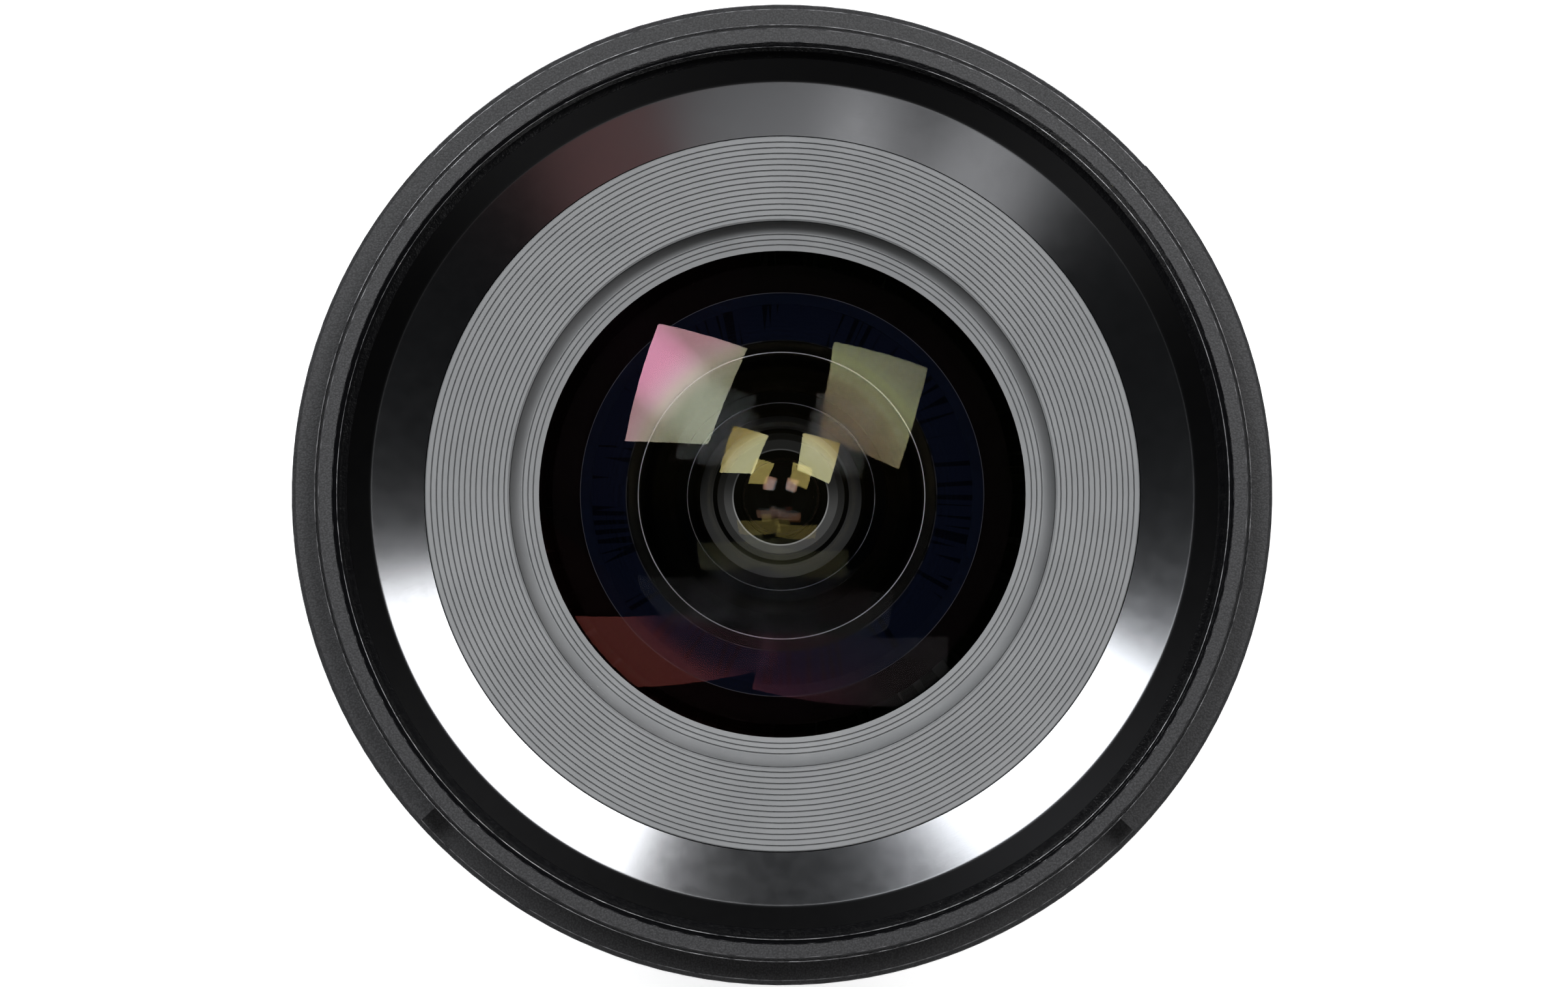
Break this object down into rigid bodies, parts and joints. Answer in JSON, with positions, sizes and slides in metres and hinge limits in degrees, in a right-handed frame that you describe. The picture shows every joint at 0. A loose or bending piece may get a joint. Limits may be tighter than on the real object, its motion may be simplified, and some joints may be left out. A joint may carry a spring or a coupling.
{
  "type": "wide-angle zoom lens",
  "caption": "Wide-angle zoom camera lens with a bulging front glass in a ribbed baffle, filter thread, hood bayonet, zoom and focus rings, iris diaphragm and bayonet camera mount.",
  "frame": {"origin": "centre of the camera flange, on the optical axis", "axes": "+Z along the optical axis towards the front glass, +Y towards the top of the lens where the distance window is, +X to the right as seen from the front"},
  "size_m": [0.0854, 0.0854, 0.086],
  "materials": {
    "housing": "black crinkle paint on an aluminium and resin housing, semi-matte",
    "dish": "glossy black turned and lacquered ring",
    "baffle": "matte dark grey with fine turned ribs",
    "anodised": "black anodised, matte",
    "front_glass": "polished glass with anti-reflection coating",
    "glass": "polished glass with anti-reflection coating",
    "rubber": "ribbed black rubber",
    "mount_metal": "satin chrome plated brass, turned",
    "steel": "plain steel",
    "gold": "gold plated, polished",
    "moulding": "black moulded plastic, fine grain",
    "switch": "dark grey plastic, satin",
    "board": "green solder mask",
    "chips": "black epoxy",
    "brass": "turned brass",
    "scale": "matte black with white marks",
    "window": "clear acrylic, polished",
    "iris": "blackened spring steel, matte",
    "nylon": "natural acetal"
  },
  "bodies": {
    "barrel": {"barrel_frame": "anodised", "board_chips": "chips", "circuit_board": "board", "contact_block": "moulding", "contact_pins": "gold", "dish_ring": "dish", "front_barrel": "housing", "front_screws": "steel", "guide_barrel": "anodised", "guide_screws": "steel", "motor_stator": "brass", "mount_ring": "mount_metal", "mount_screws": "steel", "rear_baffle": "moulding", "rear_barrel": "housing", "scale_barrel": "housing", "scale_window": "window", "switch_plate": "moulding"},
    "zoom_drive": {"zoom_ring": "housing", "zoom_grip": "rubber", "cam_barrel": "anodised", "zoom_key": "steel"},
    "front_group": {"front_tube": "anodised", "front_rollers": "brass", "baffle_ring": "baffle", "retaining_ring": "anodised", "front_cell": "anodised", "lens_one": "front_glass", "lens_two": "glass", "lens_three": "glass", "focus_stop_ring": "anodised"},
    "focus_drive": {"focus_ring": "housing", "focus_grip": "rubber", "distance_scale": "scale", "motor_rotor": "steel", "focus_fork": "steel"},
    "focus_cam": {"focus_cam_ring": "anodised"},
    "focus_group": {"focus_cell": "anodised", "focus_pins": "steel", "lens_four": "glass", "lens_five": "glass"},
    "rear_group": {"rear_tube": "anodised", "rear_rollers": "brass", "rear_cell": "anodised", "lens_seven": "glass", "lens_eight": "glass", "rear_retaining_ring": "anodised", "diaphragm_base": "anodised", "diaphragm_cover": "anodised", "lens_six": "glass", "aperture_motor": "steel"},
    "drive_ring": {"aperture_ring": "nylon"},
    "pinion": {"aperture_pinion": "nylon"},
    "mode_switch": {"focus_switch": "switch"},
    "blade_1": {"iris_blade_1": "iris"},
    "blade_2": {"iris_blade_2": "iris"},
    "blade_3": {"iris_blade_3": "iris"},
    "blade_4": {"iris_blade_4": "iris"},
    "blade_5": {"iris_blade_5": "iris"},
    "blade_6": {"iris_blade_6": "iris"}
  },
  "joints": [
    {"name": "zoom_turn", "type": "hinge", "parent": "barrel", "child": "zoom_drive", "pos_m": [0, 0, 0.028], "axis": [0, 0, 1], "range_deg": [0, 60]},
    {"name": "front_slide", "type": "slide", "parent": "barrel", "child": "front_group", "axis": [0, 0, 1], "range_m": [-0.0055, 0]},
    {"name": "rear_slide", "type": "slide", "parent": "barrel", "child": "rear_group", "axis": [0, 0, 1], "range_m": [0, 0.009]},
    {"name": "focus_turn", "type": "hinge", "parent": "barrel", "child": "focus_drive", "pos_m": [0, 0, 0.06], "axis": [0, 0, 1], "range_deg": [0, 90]},
    {"name": "focus_cam_turn", "type": "hinge", "parent": "front_group", "child": "focus_cam", "pos_m": [0, 0, 0.056], "axis": [0, 0, 1], "range_deg": [0, 90]},
    {"name": "focus_slide", "type": "slide", "parent": "front_group", "child": "focus_group", "axis": [0, 0, 1], "range_m": [-0.0024, 0]},
    {"name": "aperture_turn", "type": "hinge", "parent": "rear_group", "child": "drive_ring", "pos_m": [0, 0, 0.0248], "axis": [0, 0, 1], "range_deg": [0, 20]},
    {"name": "pinion_spin", "type": "hinge", "parent": "rear_group", "child": "pinion", "pos_m": [0, -0.0207, 0.0248], "axis": [0, 0, 1], "range_deg": [-256.01, 0]},
    {"name": "blade_1_swing", "type": "hinge", "parent": "rear_group", "child": "blade_1", "pos_m": [0.0156, 0, 0.0231], "axis": [0, 0, 1], "range_deg": [0, 34.01]},
    {"name": "blade_2_swing", "type": "hinge", "parent": "rear_group", "child": "blade_2", "pos_m": [0.0078, 0.01351, 0.0233], "axis": [0, 0, 1], "range_deg": [0, 34.01]},
    {"name": "blade_3_swing", "type": "hinge", "parent": "rear_group", "child": "blade_3", "pos_m": [-0.0078, 0.01351, 0.0235], "axis": [0, 0, 1], "range_deg": [0, 34.01]},
    {"name": "blade_4_swing", "type": "hinge", "parent": "rear_group", "child": "blade_4", "pos_m": [-0.0156, 0, 0.0237], "axis": [0, 0, 1], "range_deg": [0, 34.01]},
    {"name": "blade_5_swing", "type": "hinge", "parent": "rear_group", "child": "blade_5", "pos_m": [-0.0078, -0.01351, 0.0239], "axis": [0, 0, 1], "range_deg": [0, 34.01]},
    {"name": "blade_6_swing", "type": "hinge", "parent": "rear_group", "child": "blade_6", "pos_m": [0.0078, -0.01351, 0.0241], "axis": [0, 0, 1], "range_deg": [0, 34.01]},
    {"name": "mode_slide", "type": "slide", "parent": "barrel", "child": "mode_switch", "axis": [0, 0, 1], "range_m": [0, 0.0036]}
  ],
  "couplings": [
    {"joint": "front_slide", "follows": "zoom_turn", "m_per_rad": -0.0052521},
    {"joint": "rear_slide", "follows": "zoom_turn", "m_per_rad": 0.0085943},
    {"joint": "focus_cam_turn", "follows": "focus_turn", "ratio": 1},
    {"joint": "focus_slide", "follows": "focus_turn", "m_per_rad": -0.0015278},
    {"joint": "pinion_spin", "follows": "aperture_turn", "ratio": -12.8},
    {"joint": "blade_1_swing", "follows": "aperture_turn", "ratio": 1.7},
    {"joint": "blade_2_swing", "follows": "aperture_turn", "ratio": 1.7},
    {"joint": "blade_3_swing", "follows": "aperture_turn", "ratio": 1.7},
    {"joint": "blade_4_swing", "follows": "aperture_turn", "ratio": 1.7},
    {"joint": "blade_5_swing", "follows": "aperture_turn", "ratio": 1.7},
    {"joint": "blade_6_swing", "follows": "aperture_turn", "ratio": 1.7}
  ]
}
